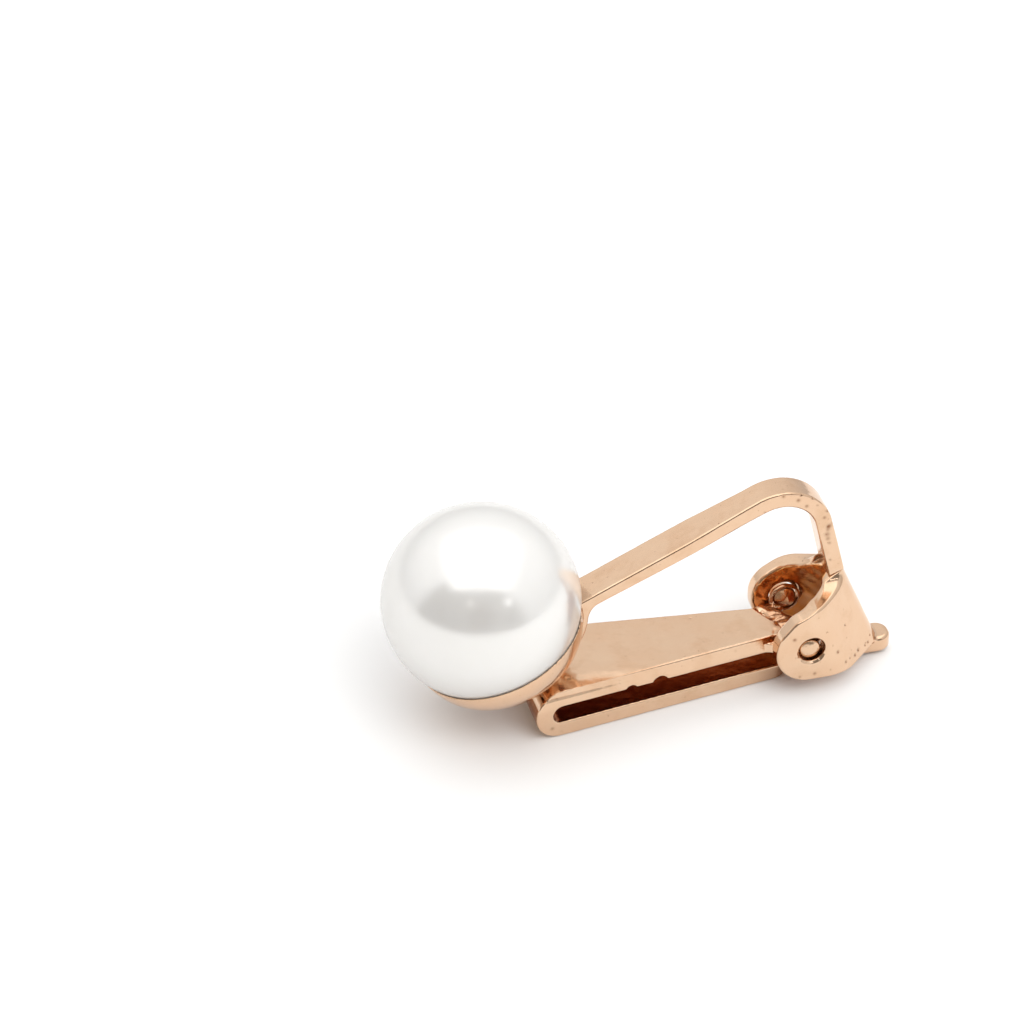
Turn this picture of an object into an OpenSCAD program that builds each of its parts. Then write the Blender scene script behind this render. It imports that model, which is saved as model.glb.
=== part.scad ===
// Clip-on earring: a pearl seated in a shallow cup, a bow over the ear lobe, a two-cheek bracket
// and a sprung paddle folded from one strip. It lies on the paddle's lower leaf, at z = 0.
// Lengths are millimetres. X runs from the pearl to the hinge, Y along the hinge pins, Z up.
// Places along X are counted from the pearl's centre until centred() moves the whole to its origin.

/* [Pearl] */
// Diameter of the pearl
pearl_d = 8.84; // [8:0.02:9.6]
// Clearance between the pearl and the metal round it
pearl_gap = 0.04; // [0.02:0.01:0.1]
// Depth of the drilled hole beyond the end of the peg
drill_end = 0.2; // [0.1:0.05:0.5]

/* [Cup] */
// Lean of the cup's axis from the upright
cup_lean = 25; // [20:1:30]
// Depth of the cup's rim behind the pearl's centre
rim_depth = 2.42; // [2:0.02:2.8]
// Thickness of the cup at its rim
rim_t = 0.12; // [0.08:0.01:0.25]
// Distance from the pearl's centre back to the centre of the cup's rounded outside
belly_shift = 1; // [0.7:0.02:1.3]
// Thickness of the cup's flat floor behind the pearl
floor_t = 0.14; // [0.1:0.01:0.3]
// Diameter of the peg that stands in the pearl
peg_d = 0.9; // [0.6:0.05:1.4]
// Length of the peg above the cup's floor
peg_l = 3.3; // [2:0.1:5]

/* [Bow] */
// Width of the strap along the arm
strap_w = 1.64; // [1.2:0.02:2.2]
// Width of the strap round the bend and down the leg
leg_w = 1.34; // [1:0.02:1.6]
// Thickness of the arm where it leaves the cup
arm_t = 0.54; // [0.4:0.02:0.8]
// Thickness of the strap round the bend
bend_t = 0.76; // [0.5:0.02:1]
// Height of the arm's upper face over the edge of the rim
arm_rise = 0.19; // [0.1:0.01:0.25]
// Outer radius of the bend
bend_r = 2.46; // [2:0.02:2.8]
// Distance from the pearl's centre to the centre of the bend
bend_x = 13.59; // [13:0.02:14]
// Height of the centre of the bend
bend_z = 7.52; // [7.2:0.02:8.2]
// Length over which the strap narrows before the bend
narrow_l = 1.4; // [0.8:0.1:2.5]
// Thickness of the strap's heel on the back of the cup
heel_t = 0.19; // [0.15:0.01:0.4]
// Height of the end of the heel over the closed paddle
heel_lift = 0.4; // [0.2:0.02:0.8]
// Radius of the corners at the end of the heel
heel_r = 0.55; // [0.3:0.05:0.6]
// Radius of the hollow corner between the arm and the heel
root_r = 0.5; // [0.3:0.05:0.8]

/* [Bracket] */
// Distance from the pearl's centre to the hinge pins
pin_x = 14.61; // [14.4:0.01:14.9]
// Width of the bracket over both cheeks
bracket_w = 5.16; // [5:0.02:5.6]
// Thickness of the cheeks and of the back wall
wall_t = 0.8; // [0.7:0.01:0.9]
// Radius of the round ends of the cheeks
cheek_r = 1.63; // [1.5:0.01:1.75]
// Height of the lower edge of the bracket over the table
bracket_z = 0.83; // [0.8:0.01:0.86]
// Height of the bracket from its lower to its upper edge
band_h = 3.62; // [3.5:0.01:4]
// Distance by which the upper rounding lies behind the pins
crown_back = 0.33; // [0.2:0.01:0.5]
// Lean of the back wall from the upright
back_lean = 22; // [20:0.5:23]
// Distance from the pins to the outside of the back wall
back_reach = 2.93; // [2.8:0.01:3.1]
// Radius of the bend from a cheek towards the back wall
cheek_bend_r = 1.8; // [1.4:0.02:2.2]
// Radius of the corners of the back wall
back_bend_r = 0.9; // [0.88:0.01:1.1]
// Distance from the pins at which a cheek starts to bend
cheek_flat = 0.14; // [0:0.01:0.25]
// Height of the seam under the strap above the pins, along the back wall
seam_h = 1.82; // [1.8:0.02:2.1]
// Radius of the hollow corners between the upper edge and the strap
neck_r = 0.5; // [0.4:0.01:0.6]
// Depth of the countersink round a pin hole
sink_t = 0.11; // [0.05:0.01:0.2]

/* [Tab] */
// Width of the tab behind the bracket
tab_w = 1.32; // [1:0.02:1.6]
// Height of the tab's underside over the table
tab_z = 0.12; // [0.05:0.01:0.25]
// Distance from the pins to the front edge of the tab
tab_front = 1.7; // [1.6:0.02:1.9]
// Length of the tab that shows behind the back wall
tab_reach = 0.68; // [0.5:0.02:1.4]
// Radius of the corners of the tab
tab_r = 0.6; // [0.3:0.02:0.6]
// Depth to which the back wall is let into the tab
tab_seat = 0.1; // [0.05:0.01:0.15]

/* [Paddle] */
// Height of the folded paddle
paddle_h = 2.52; // [2.2:0.02:2.8]
// Thickness of the paddle's strip
leaf_t = 0.83; // [0.6:0.01:0.95]
// Distance from the pearl's centre to the folded end
fold_x = 1.8; // [1.4:0.02:2.4]
// Width of the paddle at its folded end
fold_w = 5.33; // [4.6:0.02:6]
// Gap between the closed paddle and the cup
closed_gap = 0.1; // [0.06:0.01:0.4]
// Gap between the upper leaf and each cheek where it passes in
side_gap = 0.55; // [0.3:0.01:0.8]
// Distance from the pins to the end of the lower leaf
lower_short = 0.6; // [0.5:0.02:1.2]
// Radius of the corners at the end of the lower leaf
lower_r = 0.6; // [0.3:0.05:0.8]
// Distance from the pins to the upper leaf's slanting corner
corner_in = 1.65; // [1.5:0.05:1.8]
// Length of the slanting corner
corner_l = 0.6; // [0.4:0.05:0.8]
// Depth of the step down from the leaf to the tongue
tongue_drop = 0.32; // [0.2:0.01:0.45]
// Radius of the round lugs
lug_r = 0.78; // [0.7:0.01:0.8]
// Thickness of a lug
lug_t = 0.25; // [0.2:0.01:0.4]
// Play between a lug and its cheek
lug_gap = 0.05; // [0.03:0.01:0.1]
// Distance from the pearl's centre to the first nick under the edge of the upper leaf
nick_x = 6.35; // [5:0.05:7]
// Distance from the first nick to the second
nick_step = 1.35; // [1:0.05:2]
// Depth of the nicks
nick_r = 0.18; // [0.1:0.01:0.3]
// Distance that the tab keeps from the lower leaf as the paddle opens
sweep_gap = 0.1; // [0.06:0.01:0.2]

/* [Pins] */
// Radius of a pin
pin_r = 0.55; // [0.45:0.01:0.57]
// Running clearance between a pin and its hole in the cheek
pin_play = 0.07; // [0.03:0.01:0.1]
// Clearance between a pin and its lug
pin_gap = 0.02; // [0.01:0.005:0.03]
// Depth of a pin's domed tip below the outside of the cheek
pin_sink = 0.08; // [0.02:0.01:0.2]
// Length of a pin's riveted end beyond its lug
pin_head = 0.08; // [0.05:0.01:0.3]
// Radius of the dome on the ends of a pin
dome_r = 0.95; // [0.7:0.05:1.5]

/* [Hidden] */
$fn = 96;

gold = "#d9a27c";
nacre = "#f1efec";
beyond = 6;         // a cutting shape reaches this far past what it cuts
lap = 0.3;          // pieces of one solid reach this far into each other
skim = 0.01;        // a cut passes a face by this much

// Paddle: its folded end is a half round over the whole height
fold_r = paddle_h / 2;
fold_cx = fold_x + fold_r;
pin_z = bracket_z + cheek_r;
lower_x = pin_x - lower_short;
corner_x = pin_x - corner_in;

// Cheeks, lugs and the paddle's width between them
cheek_out = bracket_w / 2;
cheek_in = cheek_out - wall_t;
lug_out = cheek_in - lug_gap;
lug_in = lug_out - lug_t;
mouth_x = pin_x - cheek_r;
mouth_half = cheek_in - side_gap;
taper = (fold_w / 2 - mouth_half) / (mouth_x - fold_x);
hole_r = pin_r + pin_play;
sweep_r = norm([lower_short, pin_z]) + sweep_gap;

// Pearl and cup: the paddle's folded end decides how high the cup's floor lies
pearl_r = pearl_d / 2;
seat_r = pearl_r + pearl_gap;
floor_depth = seat_r + floor_t;
pearl_z = fold_r + (floor_depth + closed_gap + fold_r - sin(cup_lean) * fold_cx) / cos(cup_lean);
rim_out = sqrt(seat_r * seat_r - rim_depth * rim_depth) + rim_t;
belly_r = norm([rim_depth - belly_shift, rim_out]);
belly_c = [sin(cup_lean) * belly_shift, pearl_z - cos(cup_lean) * belly_shift];
heel_out = belly_r + heel_t;
heel_in = sqrt(belly_r * belly_r - strap_w * strap_w / 4) - skim;
heel_z = paddle_h + heel_lift;

// Bow, in the XZ plane: the arm and the leg are tangents to the bend
bend_c = [bend_x, bend_z];
arm_start = cup_point(arm_rise - rim_depth, rim_out);
arm_a = heading(bend_c - arm_start) + asin(bend_r / norm(bend_c - arm_start));
foot = wall_point(back_reach, seam_h);
foot_in = wall_point(back_reach - wall_t, seam_h);
leg_a = heading(bend_c - foot) - asin(bend_r / norm(bend_c - foot)) - 90;
bend_in = bend_r - bend_t;
arm_under = arm_start + arm_t * dir(arm_a - 90);
arm_end = bend_c + bend_r * dir(arm_a + 90);
arm_end_in = bend_c + bend_in * dir(arm_a + 90);
leg_top = bend_c + bend_r * dir(leg_a);
leg_top_in = bend_c + bend_in * dir(leg_a);
under_a = heading(arm_end_in - arm_under);

// Bracket and tab
diagonal = cheek_flat + cheek_out - cheek_bend_r + cheek_bend_r * sqrt(2);
tab_t = bracket_z + tab_seat - tab_z;
band_top = bracket_z + band_h;
wall_foot_s = (bracket_z - pin_z - back_reach * sin(back_lean)) / cos(back_lean);
tab_x = wall_point(back_reach, wall_foot_s)[0] + tab_reach;
middle_x = (tab_x - pearl_r) / 2;

function dir(a) = [cos(a), sin(a)];
function heading(v) = atan2(v[1], v[0]);
// A point of the XZ plane, h along the cup's axis from the pearl's centre and r across it
function cup_point(h, r) = [0, pearl_z] + h * dir(90 + cup_lean) + r * dir(cup_lean);
// A point of the XZ plane, p out from the pins across the back wall and s up along it
function wall_point(p, s) = [pin_x, pin_z] + p * dir(back_lean) + s * dir(back_lean + 90);
function half_width(x) = fold_w / 2 - taper * (x - fold_x);

// The whole stands with the middle of its length over the origin
module centred() translate([-middle_x, 0, 0]) children();
// A shape drawn in the XZ plane, made w thick about y
module across(w, y = 0) translate([0, y, 0]) rotate([90, 0, 0]) linear_extrude(w, center = true) children();
module about_pearl() translate([0, 0, pearl_z]) rotate([0, -cup_lean, 0]) children();
module at_pins() translate([pin_x, 0, pin_z]) rotate([0, -back_lean, 0]) children();
module disc_at(c, r) translate(c) circle(r);

module pearl()
    color(nacre) centred() about_pearl() difference() {
        sphere(pearl_r);
        translate([0, 0, -beyond]) cylinder(r = peg_d / 2 + pearl_gap, h = beyond - floor_depth + peg_l + drill_end);
    }

// The cup alone: a rounded back with a flat floor, hollowed by the pearl
module cup()
    about_pearl() {
        difference() {
            intersection() {
                translate([0, 0, -belly_shift]) sphere(belly_r);
                translate([0, 0, -floor_depth]) cylinder(r = beyond, h = floor_depth - rim_depth);
            }
            sphere(seat_r);
        }
        translate([0, 0, -floor_depth]) cylinder(r = peg_d / 2, h = peg_l);
    }

// The ring in which the heel lies, from the arm down to its end
module heel_side()
    intersection() {
        difference() {
            disc_at(belly_c, heel_out);
            disc_at(belly_c, heel_in);
        }
        polygon([belly_c, belly_c + beyond * dir(heading(arm_start - belly_c)),
                 belly_c + [beyond, -beyond], belly_c - [0, beyond]]);
    }

module heel()
    intersection() {
        across(strap_w) heel_side();
        translate([0, 0, heel_z]) rotate([90, 0, 90]) linear_extrude(beyond) {
            translate([-strap_w / 2, heel_r]) square([strap_w, beyond]);
            translate([-strap_w / 2 + heel_r, 0]) square([strap_w - 2 * heel_r, beyond]);
            for (side = [-1, 1]) disc_at([side * (strap_w / 2 - heel_r), heel_r], heel_r);
        }
    }

// The hollow corner between the arm's underside and the heel
module root_side() {
    along = dir(under_a);
    start = arm_under + root_r * dir(under_a - 90) - belly_c;
    near = start * along;
    reach = sqrt(near * near - start * start + (heel_out + root_r) * (heel_out + root_r)) - near;
    centre = belly_c + start + reach * along;
    difference() {
        polygon([arm_start, centre + root_r * dir(under_a + 90), centre,
                 belly_c + heel_out * dir(heading(centre - belly_c)), belly_c + heel_in * dir(0)]);
        disc_at(centre, root_r);
    }
}

// The strap from the side: what lies under its outer face, less what its inner face encloses
module bow_side() {
    sunk = lap * dir(back_lean + 90);
    difference() {
        union() {
            disc_at(bend_c, bend_r);
            polygon([arm_start, arm_end, bend_c, leg_top, foot, foot - sunk, foot_in - sunk, arm_under]);
        }
        disc_at(bend_c, bend_in);
        polygon([arm_under, arm_end_in, bend_c, leg_top_in, foot_in, foot_in - sunk, bend_c - [0, beyond]]);
    }
    root_side();
}

// The strap from above: wide along the arm, narrower from the bend on
module bow_plan()
    polygon([[0, -strap_w / 2], [arm_end[0] - narrow_l, -strap_w / 2], [arm_end[0], -leg_w / 2],
             [tab_x, -leg_w / 2], [tab_x, leg_w / 2], [arm_end[0], leg_w / 2],
             [arm_end[0] - narrow_l, strap_w / 2], [0, strap_w / 2]]);

module bow()
    intersection() {
        across(strap_w) bow_side();
        linear_extrude(3 * beyond) bow_plan();
    }

// The bracket across its height: two flat cheeks that bend in to the back wall
module wall_plan(inset) {
    half = cheek_out - inset;
    bend = cheek_bend_r - inset;
    bend_y = cheek_out - cheek_bend_r;
    reach = back_reach - inset;
    slant = diagonal - inset * sqrt(2);
    corner = max(back_bend_r - inset, skim);
    corner_y = slant - reach + corner - corner * sqrt(2);
    polygon([for (side = [-1, 1]) each [
        for (q = side < 0 ? [0:4] : [4:-1:0]) [
            [-beyond, side * half],
            [cheek_flat, side * half],
            [cheek_flat + bend * cos(45), side * (bend_y + bend * sin(45))],
            [reach - corner + corner * cos(45), side * (corner_y + corner * sin(45))],
            [reach, side * corner_y]][q]]]);
    for (side = [-1, 1]) {
        disc_at([cheek_flat, side * bend_y], bend);
        disc_at([reach - corner, side * corner_y], corner);
    }
}

module wall_shell()
    at_pins() translate([0, 0, -beyond]) difference() {
        linear_extrude(beyond + seam_h) wall_plan(0);
        translate([0, 0, -skim]) linear_extrude(2 * beyond) wall_plan(wall_t);
    }

// The bracket from the side: round in front, flat above and below, hollow where it meets the strap
module bracket_side() {
    crown = [pin_x + crown_back, band_top - cheek_r];
    out = cheek_r * dir(heading(crown - [pin_x, pin_z]) + 90);
    neck = wall_point(back_reach - neck_r, seam_h)[0];
    disc_at([pin_x, pin_z], cheek_r);
    disc_at(crown, cheek_r);
    polygon([[pin_x, pin_z] + out, crown + out, crown, [pin_x, pin_z]]);
    translate([crown[0], bracket_z]) square([beyond, band_h]);
    translate([pin_x, bracket_z]) square([beyond, band_h / 2]);
    difference() {
        translate([neck, band_top - lap]) square([2 * neck_r, beyond]);
        disc_at([neck, band_top + neck_r], neck_r);
        translate([neck - beyond, band_top + neck_r]) square([beyond, beyond]);
    }
}

// Each cheek is spot-faced inside for its lug, and countersunk outside round the pin
module bracket()
    difference() {
        intersection() {
            wall_shell();
            union() {
                across(bracket_w) bracket_side();
                translate([pin_x, -leg_w / 2, band_top - lap]) cube([beyond, leg_w, beyond]);
            }
        }
        across(2 * beyond) disc_at([pin_x, pin_z], hole_r);
        across(2 * cheek_in) disc_at([pin_x, pin_z], lug_r + lug_gap);
        for (side = [-1, 1])
            translate([pin_x, side * (cheek_out + skim), pin_z]) rotate([side * 90, 0, 0])
                cylinder(r1 = hole_r + sink_t + skim, r2 = hole_r, h = sink_t + skim);
    }

module tab() {
    front_x = pin_x + tab_front;
    difference() {
        translate([0, 0, tab_z]) linear_extrude(tab_t) {
            translate([front_x, -tab_w / 2]) square([tab_x - tab_r - front_x, tab_w]);
            translate([front_x, -tab_w / 2 + tab_r]) square([tab_x - front_x, tab_w - 2 * tab_r]);
            for (side = [-1, 1]) disc_at([tab_x - tab_r, side * (tab_w / 2 - tab_r)], tab_r);
        }
        across(2 * beyond) disc_at([pin_x, pin_z], sweep_r);
    }
}

module clip_frame()
    color(gold) centred() {
        cup();
        difference() {
            union() {
                heel();
                bow();
            }
            translate([0, 0, pearl_z]) sphere(seat_r);
        }
        bracket();
        tab();
    }

module leaf_plan(x0, x1)
    polygon([[x0, -half_width(x0)], [x1, -half_width(x1)], [x1, half_width(x1)], [x0, half_width(x0)]]);

// The folded end: half a ring, as wide as the leaves
module fold()
    intersection() {
        across(fold_w) difference() {
            disc_at([fold_cx, fold_r], fold_r);
            disc_at([fold_cx, fold_r], fold_r - leaf_t);
            translate([fold_cx, 0]) square(beyond);
        }
        linear_extrude(paddle_h) leaf_plan(fold_x, fold_cx);
    }

module lower_leaf() {
    end_half = half_width(lower_x);
    linear_extrude(leaf_t) intersection() {
        leaf_plan(fold_cx, lower_x);
        union() {
            translate([0, -fold_w]) square([lower_x - lower_r, 2 * fold_w]);
            translate([0, -end_half + lower_r]) square([lower_x, 2 * (end_half - lower_r)]);
            for (side = [-1, 1]) disc_at([lower_x - lower_r, side * (end_half - lower_r)], lower_r);
        }
    }
}

// The tongue widens from the leaf to the lugs
module tongue_plan() {
    half = half_width(corner_x);
    end_x = pin_x - pin_r - pin_gap;
    polygon([[corner_x, -half], [pin_x - lug_r, -lug_out], [end_x, -lug_out],
             [end_x, lug_out], [pin_x - lug_r, lug_out], [corner_x, half]]);
}

// The upper leaf ends in a lower tongue; its far corner is cut on a slant
module upper_leaf() {
    end_x = pin_x - lug_r;
    translate([0, 0, paddle_h - leaf_t]) {
        linear_extrude(leaf_t) difference() {
            leaf_plan(fold_cx, end_x);
            polygon([[corner_x, half_width(corner_x)], [corner_x + corner_l, 0], [beyond + end_x, 0],
                     [end_x + beyond, beyond], [corner_x, beyond]]);
        }
        linear_extrude(leaf_t - tongue_drop) tongue_plan();
    }
}

module lugs()
    for (side = [-1, 1]) {
        across(lug_t, side * (lug_in + lug_out) / 2) {
            disc_at([pin_x, pin_z], lug_r);
            translate([pin_x - lug_r, paddle_h - leaf_t]) square([lug_r, leaf_t - tongue_drop]);
        }
    }

module nicks()
    for (x = [nick_x, nick_x + nick_step])
        translate([x, -half_width(x), paddle_h - leaf_t]) rotate([90, 0, 0])
            cylinder(r = nick_r, h = 2 * lap, center = true);

module paddle()
    color(gold) centred() difference() {
        union() {
            fold();
            lower_leaf();
            upper_leaf();
            lugs();
        }
        across(2 * beyond) disc_at([pin_x, pin_z], pin_r + pin_gap);
        nicks();
    }

// One pin, domed at both ends, from its tip in the cheek to its riveted end inside the lug
module pin(side) {
    tip = cheek_out - pin_sink;
    head = lug_in - pin_head;
    color(gold) centred() translate([pin_x, 0, pin_z]) intersection() {
        rotate([-side * 90, 0, 0]) translate([0, 0, head]) cylinder(r = pin_r, h = tip - head);
        translate([0, side * (tip - dome_r), 0]) sphere(dome_r);
        translate([0, side * (head + dome_r), 0]) sphere(dome_r);
    }
}

module pin_near() pin(-1);
module pin_far() pin(1);

pearl();
clip_frame();
paddle();
pin_near();
pin_far();
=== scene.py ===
import math
import bpy
import numpy as np
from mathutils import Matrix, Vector


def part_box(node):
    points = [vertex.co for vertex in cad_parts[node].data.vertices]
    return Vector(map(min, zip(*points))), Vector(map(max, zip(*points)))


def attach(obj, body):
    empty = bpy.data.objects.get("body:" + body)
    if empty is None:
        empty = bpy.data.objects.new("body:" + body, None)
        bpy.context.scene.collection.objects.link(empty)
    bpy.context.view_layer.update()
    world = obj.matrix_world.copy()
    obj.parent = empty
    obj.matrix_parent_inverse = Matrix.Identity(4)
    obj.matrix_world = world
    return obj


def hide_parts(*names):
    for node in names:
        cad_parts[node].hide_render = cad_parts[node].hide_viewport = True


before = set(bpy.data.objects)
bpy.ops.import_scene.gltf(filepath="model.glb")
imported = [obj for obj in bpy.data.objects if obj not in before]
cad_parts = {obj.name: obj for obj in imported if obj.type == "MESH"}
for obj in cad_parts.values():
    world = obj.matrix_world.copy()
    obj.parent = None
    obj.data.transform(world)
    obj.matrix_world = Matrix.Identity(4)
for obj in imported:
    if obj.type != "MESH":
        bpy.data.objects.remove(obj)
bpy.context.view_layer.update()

# A clip-on earring of rose gold with a pearl, lying on its closed paddle.
# Each piece is a distance field: a function of x, y and z that gives a point's distance to the
# piece's skin, below zero inside. Fields join and cut with rounded edges, and mesh_field() turns
# them into meshes. Fields are in millimetres, with X counted from the pearl's centre, Y along the
# hinge pins and Z up from the table. In the names of lengths, R is a radius, T a thickness, W a
# width, H a height, L a length, and EDGE the radius of an edge.
MM = 0.001
FAR = 40.0


def node_corners(node):
    """Lowest and highest corner of a node of the frame, in millimetres."""
    low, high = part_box(node)
    return np.array(low) / MM, np.array(high) / MM


pearl_low, pearl_high = node_corners("pearl")
frame_low, frame_high = node_corners("clip_frame")
paddle_low, paddle_high = node_corners("paddle")
pin_low, pin_high = node_corners("pin_far")
SHIFT_X = (pearl_low[0] + pearl_high[0]) / 2

# Pearl: it shows a little wider and flatter than a ball
PEARL_R = (pearl_high[1] - pearl_low[1]) / 2
PEARL_Z = (pearl_high[2] + pearl_low[2]) / 2
PEARL_GAP = 0.015
PEARL_BULGE = 0.03
PEARL_FLAT = 0.07
DRILL_GAP = 0.04
DRILL_END = 0.2
DRILL_EDGE = 0.05

# Cup, with the lean of its axis in degrees
CUP_LEAN = 21
RIM_DEPTH = 2.15
RIM_OUT = frame_high[1] + 0.1
SEAT_R = PEARL_R + PEARL_GAP
FLOOR_T = 0.1
FLOOR_DEPTH = SEAT_R + FLOOR_T
BELLY_R = 2.8
RIM_EDGE = 0.03
SEAT_EDGE = 0.006
PEG_R = 0.45
PEG_L = 3.3

# Bow: arm, bend and leg are one strap, and its heel wraps the back of the cup
STRAP_W = 1.64
LEG_W = 1.34
ARM_T = 0.54
BEND_T = 0.76
ARM_START = np.array((4.44, 6.02))
BEND_R = 2.46
BEND_X = 13.59
BEND_Z = frame_high[2] - BEND_R
NARROW_L = 3.6
STRAP_EDGE = 0.1
HEEL_T = 0.19
HEEL_Z = 2.92
HEEL_R = 0.55
HEEL_FILLET = 0.06
ROOT_R = 0.5

# Hinge pins. The outer tip is a dome that sits a little aside of the hole's middle, and the inner
# head has facets, given by their direction round the pin and their lean, in degrees
PIN_X = (pin_low[0] + pin_high[0]) / 2 - SHIFT_X
PIN_Z = (pin_low[2] + pin_high[2]) / 2
PIN_R = (pin_high[2] - pin_low[2]) / 2
PIN_TIP = pin_high[1]
PIN_HEAD = pin_low[1]
PIN_EDGE = 0.08
DOME_R = 0.95
HEAD_RISE = 0.2
HEAD_EDGE = 0.04
HEAD_FACETS = ((15, 31), (80, 24), (140, 33), (200, 26), (250, 34), (310, 22))
TIP_ASIDE = 0.045
TIP_FADE = 0.4
HAMMER_SINK = 0.012
HAMMER = 0.015
HAMMER_L = 0.8

# Bracket: two cheeks and a leaning back wall, bent from one band. The far cheek is the higher one:
# it rises beside the leg, WING_GAP away, and ends under WING_OVER past FAR_WING_TOP
WALL_T = 0.8
CHEEK_OUT = 2.58
CHEEK_FLAT = 0.14
CHEEK_BEND_R = 1.8
BACK_LEAN = 22
BACK_REACH = 2.93
BACK_BEND_R = 0.9
CHEEK_R = 1.66
CHEEK_CHANGE = 1.0
FAR_CHEEK_R = 1.45
FAR_RISE = 30
FAR_WING_TOP = 5.6
BAND_LOW = 0.8
BAND_TOP = 4.5
CROWN_BACK = 0.33
SEAM_H = 1.82
SEAM_EDGE = 0.05
BRACKET_EDGE = 0.13
FAR_ROUND = 0.06
FAR_ROUND_FADE = 0.6
WING_GAP = 0.02
WING_OVER = 0.1
KNOB = (15.85, -0.45, 4.55)
KNOB_SIZE = (0.24, 0.22, 0.3)
KNOB_MELT = 0.3

# Neck: the leg widens into the band below NECK_TOP, by NECK_FLARE times the square of the drop,
# over a drop of NECK_FALL. It ends NECK_IN behind the pins and NECK_LOW over the band's edge
NECK_TOP = 5.25
NECK_FLARE = 0.55
NECK_FALL = 1.3
NECK_SLOPE = 1.25
NECK_IN = 1.1
NECK_LOW = 0.5
NECK_R = 1.0

# Holes for the pins, and the tab under the bracket
HOLE_R = 0.62
HOLE_EDGE = 0.04
SINK_T = 0.11
TAB_X = frame_high[0] - SHIFT_X
TAB_W = 1.32
TAB_LOW = 0.12
TAB_HIGH = 0.93
TAB_FRONT = 1.7
TAB_R = 0.6
TAB_EDGE = 0.2
TAB_FILLET = 0.12

# Paddle: a strip folded into two leaves. The upper one ends in a corner, a thin tongue and two lugs
FOLD_X = paddle_low[0] - SHIFT_X
FOLD_W = paddle_high[1] - paddle_low[1]
PADDLE_H = 2.52
LEAF_T = 0.83
FOLD_R = PADDLE_H / 2
LEAF_EDGE = 0.09
SIDE_LEAN = 0.13
LOWER_SHORT = 0.6
LOWER_R = 0.6
MOUTH_IN = 1.63
MOUTH_HALF = 1.23
CORNER_IN = 1.65
CORNER_L = 0.6
TONGUE_DROP = 0.32
TONGUE_ROOT = 1.0
TONGUE_FILLET = 0.05
LUG_R = paddle_high[2] - PIN_Z
LUG_OUT = 1.73
LUG_T = 0.36
LUG_GAP = 0.05
LUG_EDGE = 0.06
LUG_FILLET = 0.1
PIN_GAP = 0.02
PIN_GAP_EDGE = 0.03

# Nicks under the upper leaf's near edge: place along X, radius, and drop of the centre below it
NICKS = ((6.35, 0.29, 0.13), (7.75, 0.39, 0.15))
NICK_IN = 0.3
NICK_EDGE = 0.04

# Blobs of solder round the lugs: centre and radii
SOLDER_MELT = 0.2
SOLDER = (((13.4, 1.15, 2.28), (0.5, 0.4, 0.2)), ((13.85, 0.75, 2.2), (0.5, 0.45, 0.26)),
          ((14.3, 0.2, 2.05), (0.45, 0.7, 0.24)), ((14.1, 1.25, 2.1), (0.4, 0.28, 0.3)),
          ((14.0, -0.9, 2.1), (0.45, 0.5, 0.22)))

# Pits left by casting and soldering, and a scar on the leg. Their places are (x, z) on a near side,
# (x, y) on the upper leaf, and (x, y, z) behind the bracket. SCAR_SHARE is the scar's depth in pits'
BEND_PITS = ((12.8, 9.15), (13.65, 9.85), (14.45, 9.75), (14.35, 9.5), (15, 9.5), (15.25, 9.05),
             (14.75, 9.1), (15.7, 8.65), (15.8, 7.75), (15.6, 8.3), (15.95, 5.9))
SCAR = ((16, 7.95), (15.85, 7.8), (15.78, 7.6), (15.76, 7.35), (15.8, 7.1), (15.88, 6.85))
CHEEK_PITS = ((15.5, 1.2), (14.75, 1.15), (14.05, 1.1), (13.75, 3.25), (16.3, 1.65), (15.7, 3.9))
REAR_PITS = ((17.95, -0.79, 1.33), (18.28, -0.57, 0.93), (18.1, -0.84, 0.83), (18.04, -0.99, 0.6),
             (17.79, -1.01, 1.13), (16.57, -2.09, 1.28), (16.9, -1.82, 1.18), (17.59, -1.2, 1.14),
             (17.12, -1.59, 1.25), (16.32, -2.28, 1.26), (16.43, -1.63, 2.84), (15.89, -2.36, 1.97))
LEAF_PITS = ((10.05, 1.15),)
EDGE_PITS = ((10.95, 2.1), (11.4, 2.25), (2.65, 1.3), (2.55, 0.6), (3, 0.3), (9.1, 2.2))
PIT_DEPTH = 0.035
PIT_R = 0.055
SCAR_R = 0.09
SCAR_SHARE = 0.6

# The sizes of pits run from SMALLEST to SMALLEST + MORE times their radius, in steps of GOLDEN
SMALLEST = 0.7
MORE = 0.8
GOLDEN = 0.618

# Slow waves left by polishing, which sink the paddle by WAVE_SINK times their height
WAVE = 0.005
WAVE_L = 1.6
WAVE_SINK = 1.5

# Lumpy solder on the upper leaf, and rough casting inside the bracket
SOLDER_BUMP = 0.035
SOLDER_L = 0.75
SOLDER_FADE = 0.3
CAST_BUMP = 0.025
CAST_L = 0.8
CAST_REACH = 0.2

# Wear of the upper leaf's near edge, most at the fold
CROWN_DROP = 0.17
CROWN_W = 1.3
CROWN_L = 5.5
CROWN_START = 1.0

# Recesses, dull and darker in colour, which is painted shade with some tarnish: between the leaves,
# at the solder, inside the bracket and where the pins come through
SLOT_IN = 0.04
SLOT_FADE = 0.12
SLOT_OVER = 0.06
SLOT_EDGE = 0.05
SOLDER_DULL = 0.45
SOLDER_DULL_IN = 0.3
SOLDER_DULL_FADE = 0.4
BRACKET_FADE = 0.1
PIN_SHADE = 0.4
PIN_SHADE_FADE = 0.1

# Directions and phases of the waves that ripple() multiplies in pairs
RIPPLES = (((0.9, 0.31, -0.4), 0.7), ((-0.38, 0.83, 0.3), 2.1),
           ((0.45, -0.52, 0.77), 4.2), ((0.6, 0.66, 0.5), 1.3))

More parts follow.
